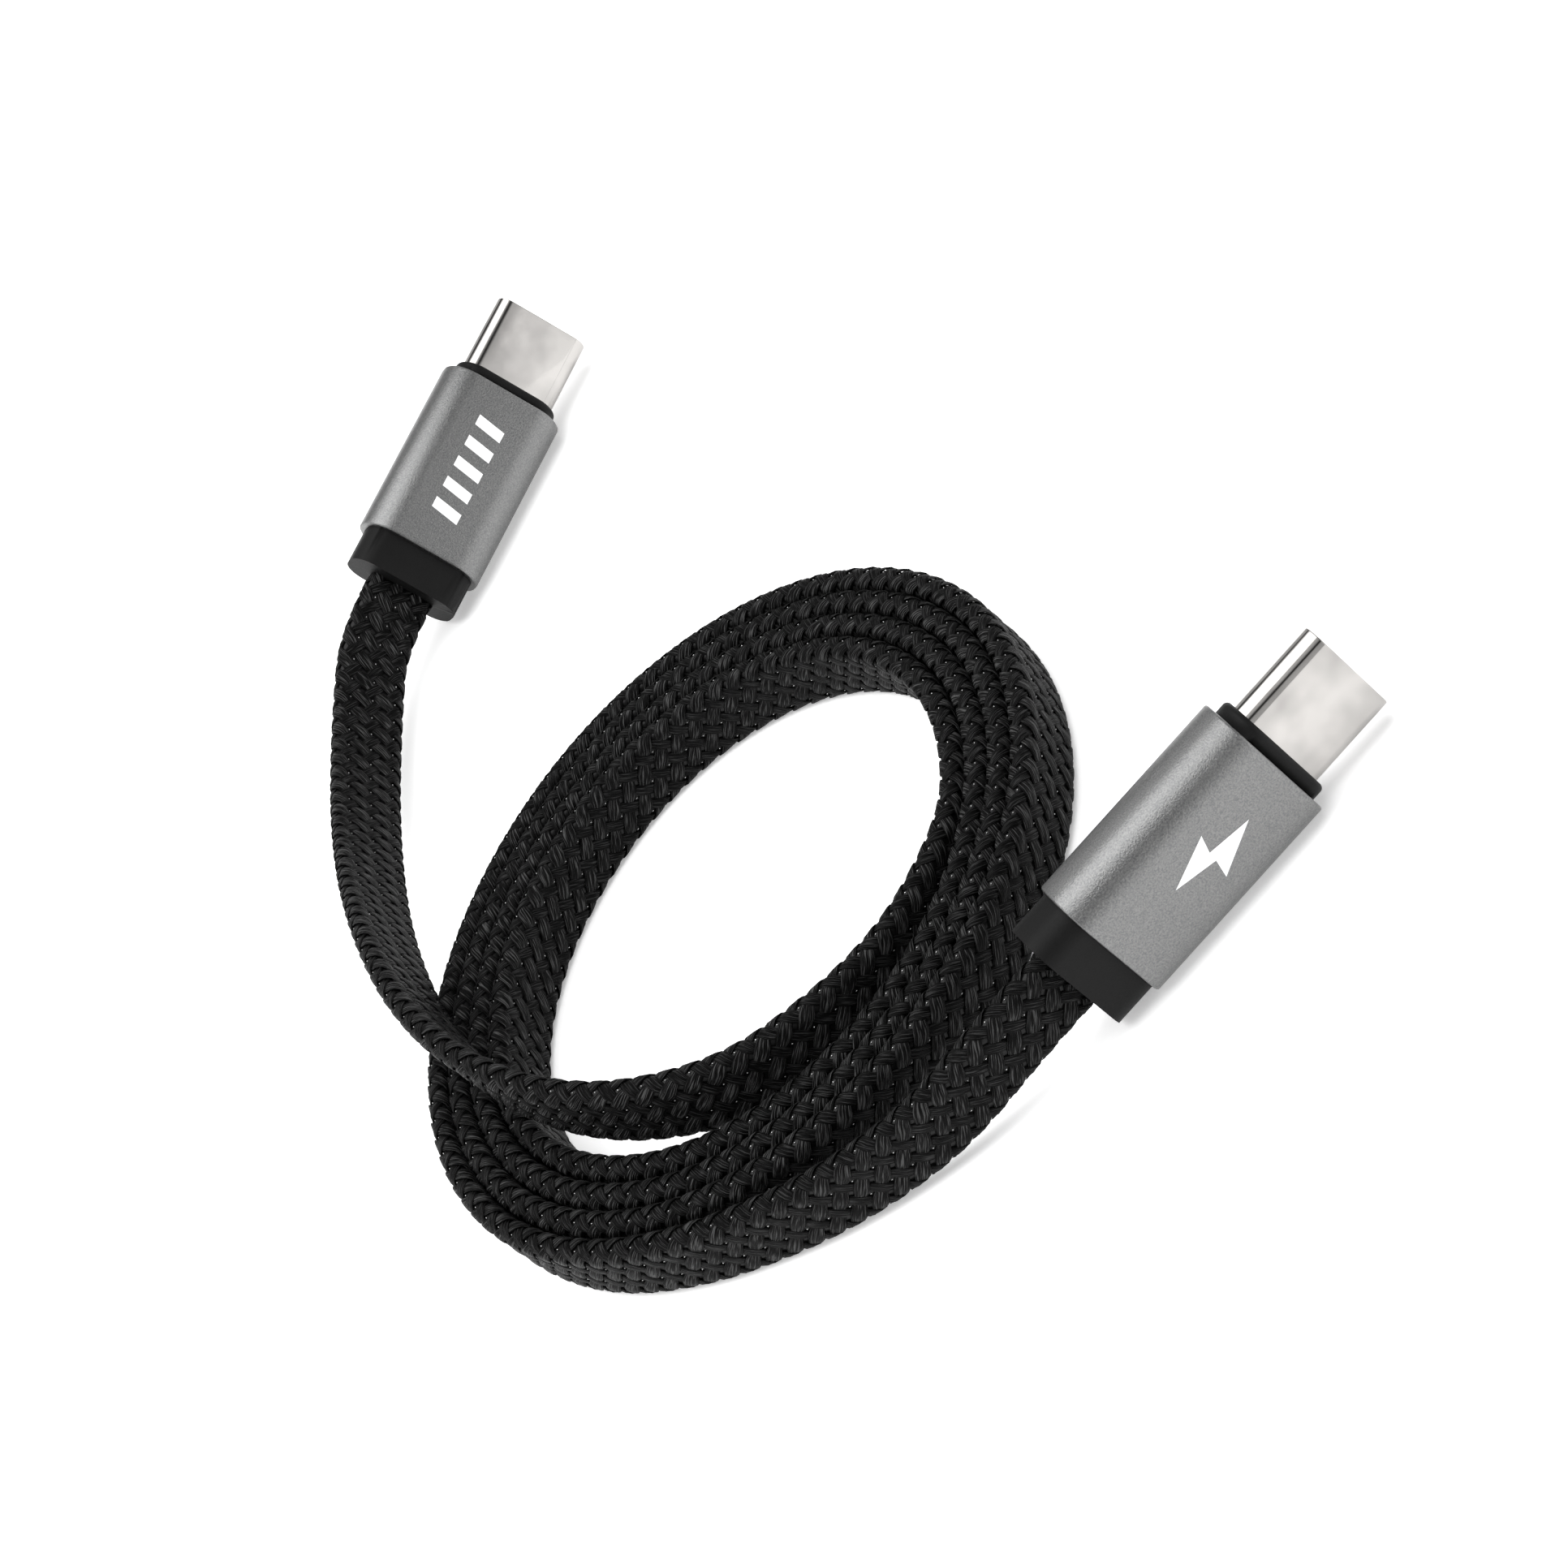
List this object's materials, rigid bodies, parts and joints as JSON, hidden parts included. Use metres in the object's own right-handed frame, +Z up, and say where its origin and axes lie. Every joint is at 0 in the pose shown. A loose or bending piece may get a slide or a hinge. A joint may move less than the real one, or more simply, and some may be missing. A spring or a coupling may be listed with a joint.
{
  "type": "charging cable",
  "caption": "Flat braided charging cable wound into a flat coil, with a metal-sleeved reversible plug on each end.",
  "frame": {"origin": "on the table, under the middle of the whole coiled cable", "axes": "+Z up from the table, +X the way the outer plug points, +Y from the outer plug towards the inner one"},
  "size_m": [0.0651, 0.1143, 0.0125],
  "materials": {
    "cable_braid": "coarse braided polyester",
    "sleeve_metal": "bead-blasted grey anodised",
    "black_plastic": "fine matte",
    "shell_steel": "polished nickel plate",
    "insulator_plastic": "moulded",
    "contact_gold": "gold plate",
    "spring_steel": "bright spring steel",
    "board_laminate": "solder mask",
    "chip_resin": "moulded resin",
    "capacitor_ceramic": "fired ceramic",
    "tin_plate": "tin plate",
    "wire_jacket": "extruded insulation"
  },
  "bodies": {
    "cable": {"cable_coil": "cable_braid", "cable_lead_a": "cable_braid", "cable_lead_b": "cable_braid", "housing_sleeve_a": "sleeve_metal", "nose_cap_a": "black_plastic", "rear_collar_a": "black_plastic", "plug_shell_a": "shell_steel", "insulator_a": "insulator_plastic", "contacts_upper_a": "contact_gold", "contacts_lower_a": "contact_gold", "ground_spring_upper_a": "spring_steel", "ground_spring_lower_a": "spring_steel", "circuit_board_a": "board_laminate", "marker_chip_a": "chip_resin", "capacitors_a": "capacitor_ceramic", "shield_can_a": "tin_plate", "crimp_ring_a": "tin_plate", "conductors_a": "wire_jacket", "housing_sleeve_b": "sleeve_metal", "nose_cap_b": "black_plastic", "rear_collar_b": "black_plastic", "plug_shell_b": "shell_steel", "insulator_b": "insulator_plastic", "contacts_upper_b": "contact_gold", "contacts_lower_b": "contact_gold", "ground_spring_upper_b": "spring_steel", "ground_spring_lower_b": "spring_steel", "circuit_board_b": "board_laminate", "marker_chip_b": "chip_resin", "capacitors_b": "capacitor_ceramic", "shield_can_b": "tin_plate", "crimp_ring_b": "tin_plate", "conductors_b": "wire_jacket"},
    "latch_left_a_arm": {"latch_left_a": "spring_steel"},
    "latch_right_a_arm": {"latch_right_a": "spring_steel"},
    "latch_left_b_arm": {"latch_left_b": "spring_steel"},
    "latch_right_b_arm": {"latch_right_b": "spring_steel"}
  },
  "joints": [
    {"name": "latch_left_a_flex", "type": "hinge", "parent": "cable", "child": "latch_left_a_arm", "pos_m": [0.01526, 0.05398, 0.00839], "axis": [0.3366, -0.8415, 0.4226], "range_deg": [0, 2.5], "stiffness_Nm_per_rad": 0.05},
    {"name": "latch_right_a_flex", "type": "hinge", "parent": "cable", "child": "latch_right_a_arm", "pos_m": [0.01637, 0.05122, 0.00202], "axis": [-0.3366, 0.8415, -0.4226], "range_deg": [0, 2.5], "stiffness_Nm_per_rad": 0.05},
    {"name": "latch_left_b_flex", "type": "hinge", "parent": "cable", "child": "latch_left_b_arm", "pos_m": [0.02617, -0.0544, 0.00886], "axis": [-0.0872, -0.9962, 0], "range_deg": [0, 2.5], "stiffness_Nm_per_rad": 0.05},
    {"name": "latch_right_b_flex", "type": "hinge", "parent": "cable", "child": "latch_right_b_arm", "pos_m": [0.02617, -0.0544, 0.00184], "axis": [0.0872, 0.9962, 0], "range_deg": [0, 2.5], "stiffness_Nm_per_rad": 0.05}
  ]
}
